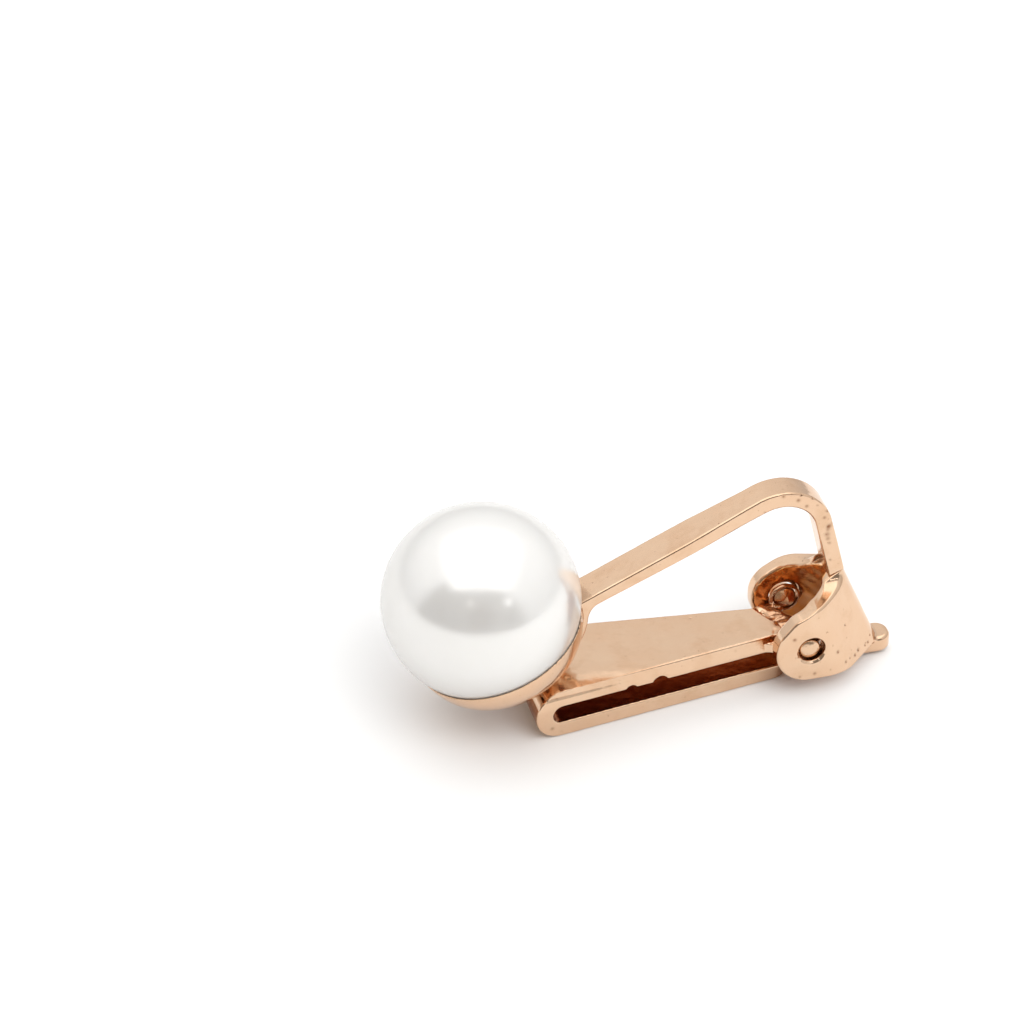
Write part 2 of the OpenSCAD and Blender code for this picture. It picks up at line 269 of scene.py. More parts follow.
# Grid steps of the meshes, and the room round a node that its grid takes in
BOW_STEP = 0.056
BRACKET_STEP = 0.045
PADDLE_STEP = 0.055
PIN_STEP = 0.03
PEARL_STEP = 0.1
PADDLE_ROOM = 0.2
PIN_ROOM = 0.3
PEARL_ROOM = 0.4


def ray(degrees):
    """The unit vector of the XZ plane that heads at an angle above X."""
    return np.array((math.cos(math.radians(degrees)), math.sin(math.radians(degrees))))


def heading(vector):
    """The angle above X at which a vector of the XZ plane heads."""
    return math.degrees(math.atan2(vector[1], vector[0]))


def smooth(t):
    """0 below 0, 1 above 1 and an even rise in between."""
    t = np.clip(t, 0, 1)
    return t * t * (3 - 2 * t)


def both(a, b, r):
    """Where a and b overlap, with their common edge rounded to the radius r."""
    corner = np.hypot(np.maximum(a + r, 0), np.maximum(b + r, 0))
    return np.minimum(np.maximum(a, b), -r) + corner


def either(a, b, r):
    """a and b together, with a hollow fillet of the radius r where they meet."""
    corner = np.hypot(np.maximum(r - a, 0), np.maximum(r - b, 0))
    return np.maximum(np.minimum(a, b), r) - corner


def melt(a, b, r):
    """a and b together, flowing into each other over a width of about r."""
    share = np.maximum(r - np.abs(a - b), 0) / r
    return np.minimum(a, b) - share ** 3 * r / 6


def blob(x, y, z, centre, radii):
    """About the distance to an ellipsoid."""
    reach = np.sqrt(sum(((v - c) / r) ** 2 for v, c, r in zip((x, y, z), centre, radii)))
    return (reach - 1) * min(radii)


def ripple(x, y, z, length):
    """Uneven waves between about -1 and 1, some length apart."""
    turns = 2 * math.pi / length
    a, b, c, d = [np.sin(turns * (u * x + v * y + w * z) + phase) for (u, v, w), phase in RIPPLES]
    return (a * b + c * d) / 2


def waves(x, y, z):
    """Long waves with shorter and lower ones on them."""
    return ripple(x, y, z, WAVE_L) + ripple(x, y, z, WAVE_L / 3) / 2


def marks(x, y, z, places, radius):
    """1 at each of some places, falling to 0 within about a radius, more or less, of it."""
    total = 0
    for i, (a, b, c) in enumerate(places):
        size = radius * (SMALLEST + MORE * (GOLDEN * i % 1))
        total = total + np.exp(-((x - a) ** 2 + (y - b) ** 2 + (z - c) ** 2) / size ** 2)
    return total


def on_side(places):
    """Places (x, z) on a flat side, as (x, 0, z)."""
    return [(x, 0, z) for x, z in places]


def outline(corners):
    """Lines and arcs of a closed outline, from (u, v, corner radius) taken anticlockwise."""
    points = [np.array(c[:2], float) for c in corners]
    features = []
    ends = []
    for i, (here, radius) in enumerate(zip(points, (c[2] for c in corners))):
        before = here - points[i - 1]
        after = points[(i + 1) % len(points)] - here
        before /= np.linalg.norm(before)
        after /= np.linalg.norm(after)
        turn = math.atan2(before[0] * after[1] - before[1] * after[0], before @ after)
        cut = radius * math.tan(abs(turn) / 2)
        start, end = here - before * cut, here + after * cut
        ends.append((start, end))
        if radius:
            side = math.copysign(1, turn)
            centre = start + side * radius * np.array((-before[1], before[0]))
            features.append(("arc", centre, radius, side, start - centre, end - centre))
    for i, (start, end) in enumerate(ends):
        features.append(("line", ends[i - 1][1], start))
    return features


def outline_distance(features, u, v):
    """Distance of (u, v) to an outline, below zero inside."""
    best = np.full(np.broadcast(u, v).shape, FAR, np.result_type(u, v))
    for kind, *facts in features:
        if kind == "line":
            start, end = facts
            length = np.linalg.norm(end - start)
            if length < 1e-6:
                continue
            along = (end - start) / length
            du, dv = u - start[0], v - start[1]
            t = np.clip(du * along[0] + dv * along[1], 0, length)
            away = du * along[1] - dv * along[0]
            gap = np.hypot(du - t * along[0], dv - t * along[1])
            found = np.where(away < 0, -gap, gap)
        else:
            centre, radius, side, first, last = facts
            du, dv = u - centre[0], v - centre[1]
            found = side * (np.hypot(du, dv) - radius)
            past_first = side * (first[0] * dv - first[1] * du) >= 0
            before_last = side * (du * last[1] - dv * last[0]) >= 0
            found = np.where(past_first & before_last, found, FAR)
        best = np.where(np.abs(found) < np.abs(best), found, best)
    return best


def wedge(centre, radius, first, second):
    """The outline under two tangents of a circle, whose outward normals head at first and second."""
    corner = centre + radius / math.cos(math.radians(second - first) / 2) * ray((first + second) / 2)
    foot, end = corner + FAR * ray(first - 90), corner + FAR * ray(second + 90)
    return outline([(*foot, 0), (*corner, radius), (*end, 0)])


def tangent(point, centre, radius, side):
    """Heading of the line from a point that touches a circle and leaves it on its right, or left."""
    away = centre - point
    return heading(away) + side * math.degrees(math.asin(radius / np.linalg.norm(away)))


def about_cup(x, z):
    """Height along the cup's axis over the pearl's centre, and distance across it in the XZ plane."""
    axis = ray(90 + CUP_LEAN)
    return x * axis[0] + (z - PEARL_Z) * axis[1], x * axis[1] - (z - PEARL_Z) * axis[0]


def along_wall(x, z):
    """Distance out from the pins across the back wall, and distance up along it."""
    out, up = ray(BACK_LEAN), ray(BACK_LEAN + 90)
    dx, dz = x - PIN_X, z - PIN_Z
    return dx * out[0] + dz * out[1], dx * up[0] + dz * up[1]


def wall_point(out, up):
    """The point of the XZ plane for which along_wall() gives out and up."""
    return np.array((PIN_X, PIN_Z)) + out * ray(BACK_LEAN) + up * ray(BACK_LEAN + 90)


BEND_C = np.array((BEND_X, BEND_Z))
ARM_A = tangent(ARM_START, BEND_C, BEND_R, 1)
ARM_END = BEND_C + BEND_R * ray(ARM_A + 90)
UNDER_A = tangent(ARM_START + ARM_T * ray(ARM_A - 90), BEND_C, BEND_R - BEND_T, 1)
LEG_A = tangent(wall_point(BACK_REACH, SEAM_H), BEND_C, BEND_R, -1) - 90
LEG_IN_A = tangent(wall_point(BACK_REACH - WALL_T, SEAM_H), BEND_C, BEND_R - BEND_T, -1) - 90
BOW_OUTER = wedge(BEND_C, BEND_R, LEG_A, ARM_A + 90)
BOW_INNER = wedge(BEND_C, BEND_R - BEND_T, LEG_IN_A, UNDER_A + 90)


def strap_half(x):
    """Half the width of the strap: wide along the arm, narrower from the bend on."""
    narrowing = smooth((x - ARM_END[0] + NARROW_L) / NARROW_L)
    return (STRAP_W + (LEG_W - STRAP_W) * narrowing) / 2


def bow_field(x, y, z):
    """The cup with the strap that is soldered to its back, down to the seam over the bracket."""
    height, across = about_cup(x, z)
    cup = both(np.hypot(across, y) - RIM_OUT, -FLOOR_DEPTH - height, BELLY_R)
    cup = both(cup, height + RIM_DEPTH, RIM_EDGE)
    under = outline_distance(BOW_INNER, x, z)
    heel = both(across - RIM_OUT, -FLOOR_DEPTH - height, BELLY_R) - HEEL_T
    heel = np.maximum(heel, -x)
    side = np.maximum(outline_distance(BOW_OUTER, x, z), either(-under, heel, ROOT_R))
    plan = both(np.abs(y) - strap_half(x), HEEL_Z - z, HEEL_R)
    strap = both(side, plan, STRAP_EDGE)
    strap = both(strap, SEAM_H - along_wall(x, z)[1], SEAM_EDGE)
    metal = either(cup, strap, HEEL_FILLET)
    seat = SEAT_R - np.sqrt(x ** 2 + y ** 2 + (z - PEARL_Z) ** 2)
    metal = both(metal, seat, SEAT_EDGE)
    peg = np.maximum(np.hypot(across, y) - PEG_R, np.abs(height + FLOOR_DEPTH - PEG_L / 2) - PEG_L / 2)
    return np.minimum(metal, peg)


MID_OUT = CHEEK_OUT - WALL_T / 2
MID_REACH = BACK_REACH - WALL_T / 2
MID_SLANT = (CHEEK_FLAT + CHEEK_OUT - CHEEK_BEND_R + (CHEEK_BEND_R - WALL_T / 2) * math.sqrt(2))
MID_PLAN = outline([
    (-FAR / 2, -MID_OUT, 0),
    (MID_SLANT - MID_OUT, -MID_OUT, CHEEK_BEND_R - WALL_T / 2),
    (MID_REACH, MID_REACH - MID_SLANT, BACK_BEND_R - WALL_T / 2),
    (MID_REACH, MID_SLANT - MID_REACH, BACK_BEND_R - WALL_T / 2),
    (MID_SLANT - MID_OUT, MID_OUT, CHEEK_BEND_R - WALL_T / 2),
    (-FAR / 2, MID_OUT, 0),
])


def cheek_outline(radius, back, top):
    """A cheek from the side: round in front about the pins, flat below and above."""
    low = np.array((PIN_X, BAND_LOW + radius))
    crown = np.array((PIN_X + back, top - radius))
    front = heading(crown - low) + 90
    upper = crown + radius / math.cos(math.radians(front - 90) / 2) * ray((front + 90) / 2)
    lower = low + radius / math.cos(math.radians(270 - front) / 2) * ray((front + 270) / 2)
    return outline([(FAR, BAND_LOW, 0), (FAR, top, 0), (*upper, radius), (*lower, radius)])


NEAR_SIDE = cheek_outline(CHEEK_R, CROWN_BACK, BAND_TOP)
FAR_CORNER = np.array((PIN_X, PIN_Z))
FAR_CORNER += FAR_CHEEK_R / math.cos(math.radians(45 - FAR_RISE / 2)) * ray(135 + FAR_RISE / 2)
FAR_END = FAR_CORNER + (FAR_WING_TOP - FAR_CORNER[1]) / math.sin(math.radians(FAR_RISE)) * ray(FAR_RISE)
FAR_SIDE = outline([
    (FAR, BAND_LOW, 0),
    (FAR, FAR_WING_TOP, 0),
    (*FAR_END, 1.0),
    (*FAR_CORNER, FAR_CHEEK_R),
    (PIN_X - FAR_CHEEK_R, BAND_LOW, FAR_CHEEK_R),
])


def bracket_field(x, y, z):
    """Two cheeks, the back wall between them, and the tab under it."""
    out, up = along_wall(x, z)
    wall = np.abs(outline_distance(MID_PLAN, out, y)) - WALL_T / 2
    near, far = outline_distance(NEAR_SIDE, x, z), outline_distance(FAR_SIDE, x, z)
    side = near + (far - near) * smooth((y + CHEEK_CHANGE) / (2 * CHEEK_CHANGE))
    flare = NECK_FLARE * np.clip(NECK_TOP - z, 0, NECK_FALL) ** 2
    neck = np.maximum((np.abs(y) - LEG_W / 2 - flare) / NECK_SLOPE, BAND_LOW + NECK_LOW - z)
    neck = np.maximum(neck, PIN_X + NECK_IN - x)
    edge = BRACKET_EDGE + FAR_ROUND * smooth((y - LEG_W / 2) / FAR_ROUND_FADE)
    metal = both(wall, melt(side, neck, NECK_R), edge)
    metal = melt(metal, blob(x, y, z, KNOB, KNOB_SIZE), KNOB_MELT)
    beside_leg = np.maximum(LEG_W / 2 + WING_GAP - y, z - FAR_WING_TOP - WING_OVER)
    metal = both(metal, np.minimum(up - SEAM_H, beside_leg), SEAM_EDGE)
    off_pin = np.hypot(x - PIN_X, z - PIN_Z)
    depth = CHEEK_OUT - np.abs(y)
    metal = both(metal, HOLE_R - off_pin, HOLE_EDGE)
    metal = np.maximum(metal, (HOLE_R + SINK_T - depth - off_pin) / math.sqrt(2))
    metal = np.maximum(metal, np.minimum(LUG_R + LUG_GAP - off_pin, depth - WALL_T))
    plan = both(both(np.abs(y) - TAB_W / 2, x - TAB_X, TAB_R), PIN_X + TAB_FRONT - x, TAB_EDGE)
    thick = np.abs(z - (TAB_HIGH + TAB_LOW) / 2) - (TAB_HIGH - TAB_LOW) / 2
    return either(metal, both(plan, thick, TAB_EDGE), TAB_FILLET)


def bow_pits(x, y, z):
    """The pits at the bend and the scar on the leg, from 0 to 1."""
    side = y + strap_half(x)
    pits = marks(x, side, z, on_side(BEND_PITS), PIT_R)
    return pits + SCAR_SHARE * marks(x, side, z, on_side(SCAR), SCAR_R)


def bow_detail(x, y, z):
    """How far the bow's skin lies under its plain field, for waves and pits."""
    return WAVE * waves(x, y, z) + PIT_DEPTH * bow_pits(x, y, z)


def bracket_pits(x, y, z):
    """The pits of the near cheek and along the tab's joint, from 0 to 1."""
    near = marks(x, y + CHEEK_OUT, z, on_side(CHEEK_PITS), PIT_R)
    return near + marks(x, y, z, REAR_PITS, PIT_R)


def inner_share(x, y, z, depth):
    """1 on the inner face of the bracket and 0 from a depth behind it."""
    out, _ = along_wall(x, z)
    return smooth((depth - WALL_T / 2 - outline_distance(MID_PLAN, out, y)) / depth)


def bracket_detail(x, y, z):
    """How far the bracket's skin lies under its plain field, for waves, pits and rough casting."""
    rough = inner_share(x, y, z, CAST_REACH) * CAST_BUMP * (1 + ripple(x, y, z, CAST_L))
    return WAVE * ripple(x, y, z, WAVE_L) + rough + PIT_DEPTH * bracket_pits(x, y, z)


def paddle_pits(x, y, z):
    """The pits on the upper leaf and along the near edges of both, from 0 to 1."""
    on_leaf = marks(x, y, z - PADDLE_H, [(a, b, 0) for a, b in LEAF_PITS], PIT_R)
    return on_leaf + marks(x, y + leaf_half(x), z, on_side(EDGE_PITS), PIT_R)


def paddle_detail(x, y, z):
    """How far the paddle's skin lies under its plain field, for waves, pits, solder and wear."""
    half = leaf_half(x)
    upper = smooth((z - PADDLE_H / 2) / SOLDER_FADE)
    lumpy = upper * smooth((x - CORNER_X - CORNER_L * (1 - np.abs(y) / half)) / SOLDER_FADE)
    solder = lumpy * SOLDER_BUMP * (1 + ripple(x, y, z, SOLDER_L))
    near_edge = np.clip((CROWN_W - half - y) / CROWN_W, 0, 1)
    fade = np.clip(1 - (x - FOLD_X - CROWN_START) / CROWN_L, 0, 1)
    worn = CROWN_DROP * fade * near_edge ** 2 * (z > PADDLE_H - LEAF_T / 2)
    return WAVE * (waves(x, y, z) + WAVE_SINK) + solder + worn + PIT_DEPTH * paddle_pits(x, y, z)


def pin_detail(x, y, z):
    """How far a pin's skin lies under its plain field, for hammered dents."""
    return HAMMER_SINK + HAMMER * ripple(x, y, z, HAMMER_L)


def no_detail(x, y, z):
    """0 everywhere."""
    return 0 * x


MOUTH_X = PIN_X - MOUTH_IN
TAPER = (FOLD_W / 2 - MOUTH_HALF) / (MOUTH_X - FOLD_X)
TAPER_COS = 1 / math.hypot(1, TAPER)
LEAF_END = PIN_X - LUG_R
TONGUE_END = PIN_X - PIN_R - PIN_GAP
LOWER_X = PIN_X - LOWER_SHORT
CORNER_X = PIN_X - CORNER_IN
PADDLE_SIDE = outline([
    (LOWER_X, 0, LEAF_EDGE),
    (LOWER_X, LEAF_T, LEAF_EDGE),
    (FOLD_X + LEAF_T, LEAF_T, FOLD_R - LEAF_T),
    (FOLD_X + LEAF_T, PADDLE_H - LEAF_T, FOLD_R - LEAF_T),
    (LEAF_END, PADDLE_H - LEAF_T, LEAF_EDGE),
    (LEAF_END, PADDLE_H, LEAF_EDGE),
    (FOLD_X, PADDLE_H, FOLD_R),
    (FOLD_X, 0, FOLD_R),
])


def leaf_half(x):
    """Half the width of a leaf, which narrows from the fold on."""
    return FOLD_W / 2 - TAPER * (x - FOLD_X)


def paddle_field(x, y, z):
    """The strip folded into two leaves, with its tongue, its lugs and the nicks under its edge."""
    strip = outline_distance(PADDLE_SIDE, x, z)
    plan = (np.abs(y) - leaf_half(x)) * TAPER_COS
    lower_plan = both(plan + SIDE_LEAN * np.clip(LEAF_T - z, 0, LEAF_T), x - LOWER_X, LOWER_R)
    upper_plan = plan + SIDE_LEAN * np.clip(z - PADDLE_H + LEAF_T, 0, LEAF_T)
    plan = np.where(z < PADDLE_H / 2, lower_plan, upper_plan)
    slant = np.array((leaf_half(CORNER_X), CORNER_L)) / math.hypot(leaf_half(CORNER_X), CORNER_L)
    past_corner = (x - CORNER_X) * slant[0] + (y - leaf_half(CORNER_X)) * slant[1]
    upper_end = np.where(z < PADDLE_H / 2, -FAR, either(past_corner, y, LEAF_EDGE))
    leaf = both(both(strip, plan, LEAF_EDGE), upper_end, LEAF_EDGE)
    for nick_x, nick_r, nick_low in NICKS:
        round_nick = nick_r - np.hypot(x - nick_x, z - PADDLE_H + LEAF_T + nick_low)
        leaf = both(leaf, np.minimum(round_nick, NICK_IN - y - leaf_half(x)), NICK_EDGE)
    half = leaf_half(CORNER_X) + (LUG_OUT - leaf_half(CORNER_X)) * (x - CORNER_X) / (LEAF_END - CORNER_X)
    tongue = both(np.abs(y) - np.minimum(half, LUG_OUT), x - TONGUE_END, LUG_EDGE)
    tongue = both(tongue, CORNER_X - TONGUE_ROOT - x, LUG_EDGE)
    low = PADDLE_H - LEAF_T
    high = PADDLE_H - TONGUE_DROP
    tongue = both(tongue, np.abs(z - (low + high) / 2) - (high - low) / 2, LUG_EDGE)
    off_pin = np.hypot(x - PIN_X, z - PIN_Z)
    lug = both(off_pin - LUG_R, np.abs(np.abs(y) - LUG_OUT + LUG_T / 2) - LUG_T / 2, LUG_T / 2)
    metal = either(leaf, either(tongue, lug, LUG_FILLET), TONGUE_FILLET)
    for centre, radii in SOLDER:
        metal = melt(metal, blob(x, y, z, centre, radii), SOLDER_MELT)
    pin_room = np.maximum(off_pin - PIN_R - PIN_GAP, PIN_HEAD - HEAD_RISE - PIN_GAP - np.abs(y))
    return both(metal, -pin_room, PIN_GAP_EDGE)


def pin_field(x, y, z):
    """The pin on the far side of the hinge, domed outside and with facets inside."""
    aside = smooth((y - CHEEK_OUT + WALL_T) / TIP_FADE)
    off_pin = np.hypot(x - PIN_X + TIP_ASIDE * aside, z - PIN_Z + TIP_ASIDE * aside)
    tip = np.hypot(off_pin, y - PIN_TIP + DOME_R) - DOME_R
    top = PIN_HEAD - HEAD_RISE
    head = top + 2 * HEAD_EDGE - y
    for way, lean in HEAD_FACETS:
        across, out = math.cos(math.radians(lean)), math.sin(math.radians(lean)) * ray(way)
        head = both(head, (x - PIN_X) * out[0] + (z - PIN_Z) * out[1] + (top - y) * across, HEAD_EDGE)
    return both(off_pin - PIN_R + TIP_ASIDE * aside, np.maximum(tip, head), PIN_EDGE)


def near_pin_field(x, y, z):
    """The pin on the near side, a mirror image of the far one."""
    return pin_field(x, -y, z)


def pearl_field(x, y, z):
    """The pearl: a little wider than high where it shows, and drilled for the peg."""
    height, across = about_cup(x, z)
    shown = smooth((height + RIM_DEPTH) / PEARL_R)
    distance = np.sqrt(x ** 2 + y ** 2 + (z - PEARL_Z) ** 2)
    wide = np.hypot(x, y) / np.maximum(distance, 1e-6)
    radius = PEARL_R + shown * (PEARL_BULGE * wide ** 2 - PEARL_FLAT * (1 - wide ** 2))
    hole = np.maximum(np.hypot(across, y) - PEG_R - DRILL_GAP, height + FLOOR_DEPTH - PEG_L - DRILL_END)
    return both(distance - radius, -hole, DRILL_EDGE)


def bracket_recess_shade(x, y, z):
    """How much painted shade, with some tarnish, darkens and dulls the skin, from 0 where it is polished
    to 1.
    """
    return inner_share(x, y, z, BRACKET_FADE)


def paddle_recess_shade(x, y, z):
    """Painted shade with some tarnish: 1 in the slot between the leaves, less at the solder, and 0 where
    the paddle is polished.
    """
    slot = smooth((leaf_half(x) - np.abs(y) - SLOT_IN) / SLOT_FADE)
    slot = slot * smooth((z - LEAF_T + SLOT_OVER) / SLOT_EDGE)
    slot = slot * smooth((PADDLE_H - LEAF_T + SLOT_OVER - z) / SLOT_EDGE)
    solder = SOLDER_DULL * smooth((x - CORNER_X - SOLDER_DULL_IN) / SOLDER_DULL_FADE)
    return np.maximum(slot, solder)


def pin_recess_shade(x, y, z):
    """0 on the outer end of a pin, and a little painted shade and dulling inside the cheek."""
    return PIN_SHADE * smooth((CHEEK_OUT - WALL_T - np.abs(y)) / PIN_SHADE_FADE)


# Corners and edges of a grid's cell, the four directions in which a field is probed, and how far.
# A mesh is drawn onto its field in STRIDES steps, none of which trusts a slope under LEAST_SLOPE
CELL = np.array([(i, j, k) for i in (0, 1) for j in (0, 1) for k in (0, 1)])
CELL_EDGES = [(a, b) for a in CELL for b in CELL if (b - a).sum() == 1 and (b - a).min() == 0]
TETRAHEDRON = np.array([(1, -1, -1), (-1, -1, 1), (-1, 1, -1), (1, 1, 1)], float)
PROBE = 0.012
STRIDES = 4
LEAST_SLOPE = 0.5


def field_and_slope(field, points):
    """A field's value and gradient at points, from four probes round each."""
    probes = [field(*(points + PROBE * c).T) for c in TETRAHEDRON]
    slope = sum(p[:, None] * c for p, c in zip(probes, TETRAHEDRON)) / (4 * PROBE)
    return sum(probes) / 4, slope


def surface_net(values, low, step):
    """Vertices and quads of the skin of a grid of values: one vertex in each cell that it crosses."""
    inside = values < 0
    size = np.array(values.shape) - 1
    count = sum(inside[i:i + size[0], j:j + size[1], k:k + size[2]].astype(np.int8) for i, j, k in CELL)
    crossed = (count > 0) & (count < 8)
    cells = np.argwhere(crossed)
    number = np.full(size, -1, np.int64)
    number[crossed] = np.arange(len(cells))
    total, hits = np.zeros((len(cells), 3)), np.zeros(len(cells))
    for a, b in CELL_EDGES:
        at_a, at_b = values[tuple((cells + a).T)], values[tuple((cells + b).T)]
        cut = (at_a < 0) != (at_b < 0)
        share = np.where(cut, at_a / np.where(cut, at_a - at_b, 1), 0)
        total += cut[:, None] * (a + share[:, None] * (b - a))
        hits += cut
    points = low + step * (cells + total / hits[:, None])
    quads = []
    for axis in range(3):
        along, u, v = np.roll(np.eye(3, dtype=int), -axis, axis=0)
        low_side = inside[:size[0] + 1 - along[0], :size[1] + 1 - along[1], :size[2] + 1 - along[2]]
        high_side = inside[along[0]:, along[1]:, along[2]:]
        edges = np.argwhere(low_side != high_side)
        ring = [number[tuple((edges - corner).T)] for corner in (u + v, v, 0 * u, u)]
        ring = np.stack(ring, axis=1)
        leaving = low_side[tuple(edges.T)]
        quads.append(np.where(leaving[:, None], ring, ring[:, ::-1]))
    return points, np.concatenate(quads)


def mesh_field(name, field, detail, painted_recess_shade, pits, low, high, step):
    """A mesh object of a field's skin between two corners, with its fine detail and exact normals."""
    axes = [np.arange(a, b + step, step, dtype=np.float32) for a, b in zip(low, high)]
    values = field(axes[0][:, None, None], axes[1][None, :, None], axes[2][None, None, :])
    points, quads = surface_net(values, np.array(low), step)

    def skin(x, y, z):
        return field(x, y, z) + detail(x, y, z)

    for _ in range(STRIDES):
        value, slope = field_and_slope(skin, points)
        square = np.maximum((slope ** 2).sum(axis=1), LEAST_SLOPE ** 2)
        points = points - np.clip(value / square, -step, step)[:, None] * slope
    _, slope = field_and_slope(skin, points)
    normals = slope / np.linalg.norm(slope, axis=1)[:, None]
    mesh = bpy.data.meshes.new(name)
    mesh.vertices.add(len(points))
    mesh.vertices.foreach_set("co", ((points + (SHIFT_X, 0, 0)) * MM).astype(np.float32).ravel())
    mesh.loops.add(quads.size)
    mesh.loops.foreach_set("vertex_index", quads.astype(np.int32).ravel())
    mesh.polygons.add(len(quads))
    mesh.polygons.foreach_set("loop_start", np.arange(0, quads.size, 4, dtype=np.int32))
    mesh.polygons.foreach_set("use_smooth", np.ones(len(quads), bool))
    mesh.update(calc_edges=True)
    mesh.normals_split_custom_set_from_vertices(normals.astype(np.float32))
    # The pit channel carries painted shade, with the pits' stain, into their colour
    # The recess channel carries painted shade, with some tarnish, into the colour of the recesses
    for channel, values in ("painted_recess_shade", painted_recess_shade(*points.T)), ("pit_shade", pits(*points.T)):
        share = mesh.attributes.new(channel, "FLOAT", "POINT")
        share.data.foreach_set("value", np.clip(values, 0, 1).astype(np.float32))
    piece = bpy.data.objects.new(name, mesh)
    bpy.context.scene.collection.objects.link(piece)
    return piece


def around(node, room):
    """The corners of a node's box with room round it, in the fields' own place."""
    low, high = node_corners(node)
    shift = np.array((SHIFT_X, 0, 0))
    return low - shift - room, high - shift + room


# Colours, in linear light
NACRE = (0.82, 0.81, 0.795)
NACRE_WARM = (0.81, 0.795, 0.77)
# The edge colour is painted shade, darkening the pearl towards its outline
NACRE_RIM_SHADE = (0.42, 0.4, 0.375)
ROSE = (0.77, 0.52, 0.347)
WARM = (0.79, 0.555, 0.382)
STAIN = (0.62, 0.37, 0.21)
DULL = (0.3, 0.13, 0.06)
# The pit colour is painted shade in the pits, with their brown stain
PIT_SHADE = (0.24, 0.1, 0.045)
# The two recess colours below are painted shade, with some tarnish, for the recesses of the gold
BROWN_RECESS_SHADE = (0.4, 0.14, 0.04)
AMBER_RECESS_SHADE = (0.8, 0.32, 0.07)
FLOOR = (0.84, 0.84, 0.836)

# Scales of the noise in the materials, per metre, and heights of the bumps, in metres
CLOUDS = 450.0
SPECKS = 5200.0
HAZE = 700.0
SCRATCHES = 2500.0
GRAIN = 3000.0
LUMPS = 2200.0
NACRE_CLOUDS = 260.0
NACRE_SKIN = 1500.0
FINE_BUMP = 0.00003
LUMP_BUMP = 0.0001

# Roughness of the recessed gold, and how the scratches are stretched and turned
INNER_ROUGH = 0.25
SCRATCH_STRETCH = (1.0, 9.0, 3.0)
SCRATCH_TURN = (0.2, 0.3, 0.4)


def rgba(colour):
    """A colour with its alpha, or a socket as it is."""
    return (*colour, 1) if isinstance(colour, tuple) else colour


class Nodes:
    """Makes and joins the nodes of one material or world."""

    def __init__(self, owner):
        owner.use_nodes = True
        self.tree = owner.node_tree
        self.tree.nodes.clear()

    def add(self, kind, settings=None, **inputs):
        """A new node. Its inputs are given by name, or as i0, i1 and so on by number."""
        node = self.tree.nodes.new(kind)
        for key, value in (settings or {}).items():
            setattr(node, key, value)
        for key, value in inputs.items():
            by_number = key[0] == "i" and key[1:].isdigit()
            socket = node.inputs[int(key[1:]) if by_number else key.replace("_", " ")]
            if isinstance(value, bpy.types.NodeSocket):
                self.tree.links.new(value, socket)
            else:
                socket.default_value = value
        return node

    def coordinates(self, kind):
        return self.add("ShaderNodeTexCoord").outputs[kind]

    def channel(self, name):
        """A value that mesh_field() stored on the mesh."""
        return self.add("ShaderNodeAttribute", {"attribute_name": name}).outputs["Fac"]

    def noise(self, place, scale, detail, roughness=0.5):
        """Clouds between 0 and 1."""
        return self.add("ShaderNodeTexNoise", Vector=place, Scale=scale, Detail=detail,
                        Roughness=roughness).outputs["Fac"]

    def ramp(self, value, low, high, start=0.0, end=1.0, kind="LINEAR"):
        """start where a value is low or less, end where it is high or more, and a rise in between."""
        return self.add("ShaderNodeMapRange", {"interpolation_type": kind}, Value=value,
                        From_Min=low, From_Max=high, To_Min=start, To_Max=end).outputs[0]

    def mix(self, share, first, second):
        """The first colour where the share is 0 and the second where it is 1."""
        return self.add("ShaderNodeMix", {"data_type": "RGBA"}, i0=share,
                        i6=rgba(first), i7=rgba(second)).outputs[2]

    def maths(self, kind, first, second=0.0):
        """Two values added, multiplied and so on."""
        return self.add("ShaderNodeMath", {"operation": kind}, i0=first, i1=second).outputs[0]

    def bump(self, height, strength, distance, **under):
        """The normal with bumps on it, over the one given as Normal."""
        return self.add("ShaderNodeBump", Height=height, Strength=strength, Distance=distance,
                        **under).outputs[0]

    def output(self, kind, shader):
        self.add(kind, Surface=shader.outputs[0])


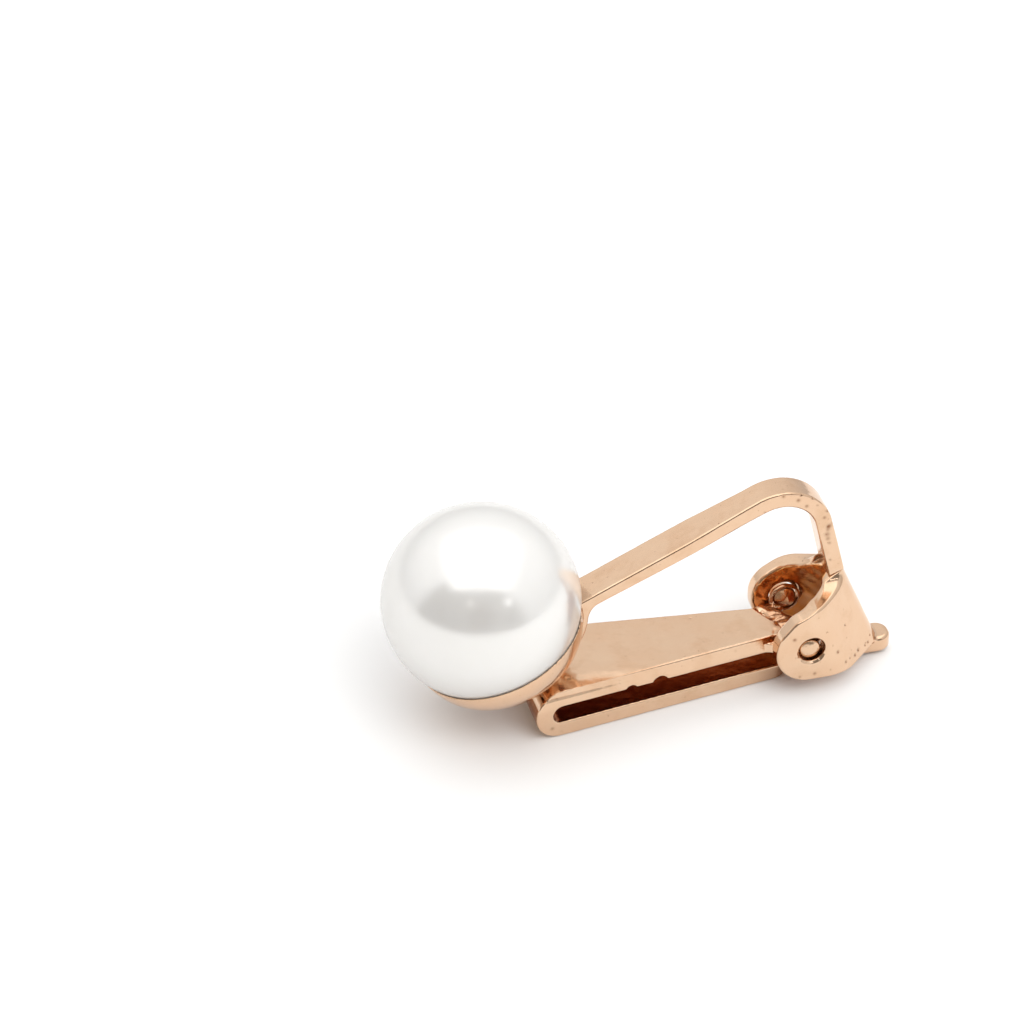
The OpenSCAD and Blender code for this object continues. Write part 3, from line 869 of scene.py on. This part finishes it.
def gold_material(name, recess_shade_colour, rough):
    """Polished gold with a faint haze and fine scratches, dull and darkened by painted shade, with some
    tarnish, where it is recessed.
    """
    material = bpy.data.materials.new(name)
    nodes = Nodes(material)
    place = nodes.coordinates("Object")
    recess_shade_share = nodes.channel("painted_recess_shade")
    pit_shade = nodes.channel("pit_shade")

    cloud = nodes.ramp(nodes.noise(place, CLOUDS, 4.0, 0.6), 0.35, 0.65)
    speck = nodes.ramp(nodes.noise(place, SPECKS, 2.0), 0.7, 0.78, end=0.6)
    haze = nodes.noise(place, HAZE, 6.0, 0.65)
    stain = nodes.ramp(haze, 0.5, 0.74, end=0.45)
    tone = nodes.mix(cloud, ROSE, WARM)
    # The pit colour paints shade into the pits, with their stain
    # The recess share and its colour paint shade, with some tarnish, into the recesses
    for share, colour in (speck, DULL), (stain, STAIN), (recess_shade_share, recess_shade_colour), (pit_shade, PIT_SHADE):
        tone = nodes.mix(share, tone, colour)

    gloss = nodes.ramp(haze, 0.3, 0.7, rough * 0.6, rough * 1.5)
    dulled = nodes.add("ShaderNodeMix", {"data_type": "FLOAT"}, i0=recess_shade_share, i2=gloss, i3=INNER_ROUGH)

    stretched = nodes.add("ShaderNodeMapping", Vector=place, Scale=SCRATCH_STRETCH,
                          Rotation=SCRATCH_TURN).outputs[0]
    scratched = nodes.bump(nodes.noise(stretched, SCRATCHES, 3.0), 0.04, FINE_BUMP)
    grainy = nodes.bump(nodes.noise(place, GRAIN, 5.0), 0.16, FINE_BUMP, Normal=scratched)
    cast = nodes.maths("MULTIPLY", nodes.noise(place, LUMPS, 3.0), recess_shade_share)
    bump = nodes.bump(cast, 0.35, LUMP_BUMP, Normal=grainy)

    nodes.output("ShaderNodeOutputMaterial", nodes.add(
        "ShaderNodeBsdfPrincipled", Metallic=1.0, Base_Color=tone, Roughness=dulled.outputs[0],
        Normal=bump))
    return material


def pearl_material():
    """Nacre: a soft white body that light spreads through, under a satin mirror, with painted shade that
    darkens its colour and mirror towards the outline.
    """
    material = bpy.data.materials.new("nacre")
    nodes = Nodes(material)
    place = nodes.coordinates("Object")
    body = nodes.mix(nodes.noise(place, NACRE_CLOUDS, 3.0), NACRE_WARM, NACRE)
    facing = nodes.add("ShaderNodeLayerWeight", Blend=0.5).outputs["Facing"]
    # Painted shade: the colour darkens towards the outline as the surface turns away
    tone = nodes.mix(nodes.ramp(facing, 0.35, 0.95, end=0.35), body, NACRE_RIM_SHADE)
    skin = nodes.noise(place, NACRE_SKIN, 4.0)
    gloss = nodes.ramp(skin, 0.3, 0.7, 0.17, 0.23)
    bump = nodes.bump(skin, 0.03, FINE_BUMP)
    nodes.output("ShaderNodeOutputMaterial", nodes.add(
        "ShaderNodeBsdfPrincipled", Metallic=0.45, Base_Color=tone, Roughness=gloss, Normal=bump,
        Subsurface_Weight=0.7, Subsurface_Radius=(1.0, 0.97, 0.93), Subsurface_Scale=0.002))
    return material


def floor_material():
    """A plain pale matt surface."""
    material = bpy.data.materials.new("pale_floor")
    nodes = Nodes(material)
    nodes.output("ShaderNodeOutputMaterial", nodes.add(
        "ShaderNodeBsdfPrincipled", Base_Color=rgba(FLOOR), Roughness=0.6))
    return material


# The boxes in which the two pieces of the frame are meshed
BOW_BOX = (-4.3, -4.1, 0.9), (17.4, 4.1, 10.2)
BRACKET_BOX = (12.6, -2.8, -0.1), (19.4, 2.8, 5.8)

# Name, node that it replaces, body and material, then the fields, box and step for mesh_field()
PIECES = (
    ("cup_and_bow", "clip_frame", "frame", "frame_gold",
     bow_field, bow_detail, no_detail, bow_pits, *BOW_BOX, BOW_STEP),
    ("bracket_with_tab", "clip_frame", "frame", "frame_gold",
     bracket_field, bracket_detail, bracket_recess_shade, bracket_pits, *BRACKET_BOX, BRACKET_STEP),
    ("sprung_paddle", "paddle", "paddle", "paddle_gold",
     paddle_field, paddle_detail, paddle_recess_shade, paddle_pits, *around("paddle", PADDLE_ROOM), PADDLE_STEP),
    ("near_pin", "pin_near", "paddle", "pin_gold",
     near_pin_field, pin_detail, pin_recess_shade, no_detail, *around("pin_near", PIN_ROOM), PIN_STEP),
    ("far_pin", "pin_far", "paddle", "pin_gold",
     pin_field, pin_detail, pin_recess_shade, no_detail, *around("pin_far", PIN_ROOM), PIN_STEP),
    ("round_pearl", "pearl", "frame", "nacre",
     pearl_field, no_detail, no_detail, no_detail, *around("pearl", PEARL_ROOM), PEARL_STEP),
)

# The material of each slot, for gold with the colour of the painted shade in its recesses and its
# roughness
MATERIALS = {
    "frame_gold": gold_material("frame_gold", AMBER_RECESS_SHADE, 0.13),
    "paddle_gold": gold_material("paddle_gold", BROWN_RECESS_SHADE, 0.16),
    "pin_gold": gold_material("pin_gold", AMBER_RECESS_SHADE, 0.22),
    "nacre": pearl_material(),
}


def make_pieces():
    """Every piece of the table, on its body and in place of its node."""
    for name, node, body, slot, *shape in PIECES:
        piece = mesh_field(name, *shape)
        piece.data.materials.append(MATERIALS[slot])
        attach(piece, body)
        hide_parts(node)


def toward(left, up):
    """The unit vector from the object that heads left of the front and up, in degrees."""
    left, up = math.radians(left), math.radians(up)
    return Vector((-math.sin(left) * math.cos(up), -math.cos(left) * math.cos(up), math.sin(up)))


# Camera: degrees left of the front and up, and millimetres, with its aim counted as in the fields.
# What lies nearer than CLIP_NEAR or further than CLIP_FAR, in metres, isn't drawn
CAMERA_AWAY = 250.0
CAMERA_LEFT = 15.78
CAMERA_UP = 36.5
CAMERA_AIM = (1.403, 0.0, 10.998)
SENSOR = 36.0
LENS = 201.75
CLIP_NEAR = 0.01
CLIP_FAR = 10


def make_camera():
    """The camera at the photograph's angle."""
    camera = bpy.data.objects.new("camera", bpy.data.cameras.new("camera"))
    back = toward(CAMERA_LEFT, CAMERA_UP)
    aim = Vector((CAMERA_AIM[0] + SHIFT_X, CAMERA_AIM[1], CAMERA_AIM[2]))
    camera.location = (aim + back * CAMERA_AWAY) * MM
    camera.rotation_mode = "QUATERNION"
    camera.rotation_quaternion = (-back).to_track_quat("-Z", "Y")
    camera.data.sensor_width = SENSOR
    camera.data.lens = LENS
    camera.data.clip_start = CLIP_NEAR
    camera.data.clip_end = CLIP_FAR
    bpy.context.scene.collection.objects.link(camera)
    bpy.context.scene.camera = camera


FLOOR_REACH = 1.5


def make_floor():
    """A square floor at the height of the table, which reaches some metres to each side."""
    mesh = bpy.data.meshes.new("floor")
    corners = [(x * FLOOR_REACH, y * FLOOR_REACH, 0) for x, y in ((-1, -1), (1, -1), (1, 1), (-1, 1))]
    mesh.from_pydata(corners, [], [(0, 1, 2, 3)])
    floor = bpy.data.objects.new("floor", mesh)
    floor.data.materials.append(floor_material())
    bpy.context.scene.collection.objects.link(floor)


# Lamps: degrees left of the camera and up, size in metres, brightness, and whether they show in
# reflections
LAMP_AWAY = 0.6
LAMPS = {
    "right_lamp": (-36, 33, 0.05, 3.0, True),
    "left_lamp": (15.5, 36, 0.05, 1.2, True),
    "fill_lamp": (-30, 48, 0.45, 2.6, False),
}


def make_lamp(name, left, up, size, brightness, mirrored):
    """A round lamp that faces the object. Its power grows with its area, so a large one is no dimmer."""
    light = bpy.data.lights.new(name, "AREA")
    light.shape = "DISK"
    light.size = size
    light.energy = brightness * math.pi * size ** 2
    lamp = bpy.data.objects.new(name, light)
    way = toward(CAMERA_LEFT + left, up)
    lamp.location = way * LAMP_AWAY
    lamp.rotation_mode = "QUATERNION"
    lamp.rotation_quaternion = way.to_track_quat("Z", "Y")
    lamp.visible_glossy = mirrored
    bpy.context.scene.collection.objects.link(lamp)


# Tent: brightness at the foot and from TENT_UP on, and how much more on the left and less on the right
TENT_LOW = 0.73
TENT_HIGH = 0.96
TENT_UP = 0.6
TENT_SIDE = 0.06
TENT_SIDE_REACH = 0.6

# Its darker front, with a darker core round the camera. Edges are cosines, where it begins and is full
FRONT = (0.27, 0.255, 0.24)
FRONT_LEFT = 12
FRONT_EDGE = (0.32, 0.58)
FRONT_CORE = (0.17, 0.14, 0.12)
CORE_UP = 20
CORE_EDGE = (0.95, 0.99)

# The light in its roof: brightness, how far it reaches per height over the object, and the softness
# of its front edge and of the others
SOFTBOX = 1.7
SOFTBOX_FRONT = 0.75
SOFTBOX_BACK = 0.8
SOFTBOX_SIDE = 0.75
CRISP = 0.05
SOFT = 0.25
LEAST_HEIGHT = 0.01


def make_world():
    """A white tent with a soft square light in its roof, open and darker in front."""
    world = bpy.data.worlds.new("tent")
    bpy.context.scene.world = world
    nodes = Nodes(world)
    ways = nodes.coordinates("Generated")

    def along(way):
        """The cosine between the direction looked at and a way."""
        dot = nodes.add("ShaderNodeVectorMath", {"operation": "DOT_PRODUCT"}, i0=ways, i1=way)
        return dot.outputs["Value"]

    def ramp(value, low, high, start=0.0, end=1.0):
        return nodes.ramp(value, low, high, start, end, "SMOOTHSTEP")

    up = along((0, 0, 1))
    aside = ramp(along((1, 0, 0)), -TENT_SIDE_REACH, TENT_SIDE_REACH, TENT_SIDE, -TENT_SIDE)
    wall = nodes.maths("ADD", ramp(up, 0.0, TENT_UP, TENT_LOW, TENT_HIGH), aside)
    in_front = ramp(along(toward(CAMERA_LEFT + FRONT_LEFT, 0)), *FRONT_EDGE)
    in_core = ramp(along(toward(CAMERA_LEFT, CORE_UP)), *CORE_EDGE)
    tent = nodes.mix(in_core, nodes.mix(in_front, wall, FRONT), FRONT_CORE)

    height = nodes.maths("MAXIMUM", up, LEAST_HEIGHT)
    forward = nodes.maths("DIVIDE", along(toward(CAMERA_LEFT, 0)), height)
    sideways = nodes.maths("DIVIDE", along(toward(CAMERA_LEFT + 90, 0)), height)
    sideways = nodes.maths("ABSOLUTE", sideways)
    before_front = ramp(forward, SOFTBOX_FRONT - CRISP, SOFTBOX_FRONT + CRISP, 1.0, 0.0)
    before_back = ramp(forward, -SOFTBOX_BACK - SOFT, -SOFTBOX_BACK + SOFT)
    between_sides = ramp(sideways, SOFTBOX_SIDE - SOFT, SOFTBOX_SIDE + SOFT, 1.0, 0.0)
    lit = nodes.maths("MULTIPLY", nodes.maths("MULTIPLY", before_front, before_back), between_sides)
    roof = nodes.mix(lit, tent, (SOFTBOX, SOFTBOX, SOFTBOX))
    nodes.output("ShaderNodeOutputWorld", nodes.add("ShaderNodeBackground", Color=roof, Strength=1.0))


def main():
    make_camera()
    make_pieces()
    make_floor()
    make_world()
    for name, facts in LAMPS.items():
        make_lamp(name, *facts)
    bpy.context.scene.view_settings.view_transform = "Standard"


main()
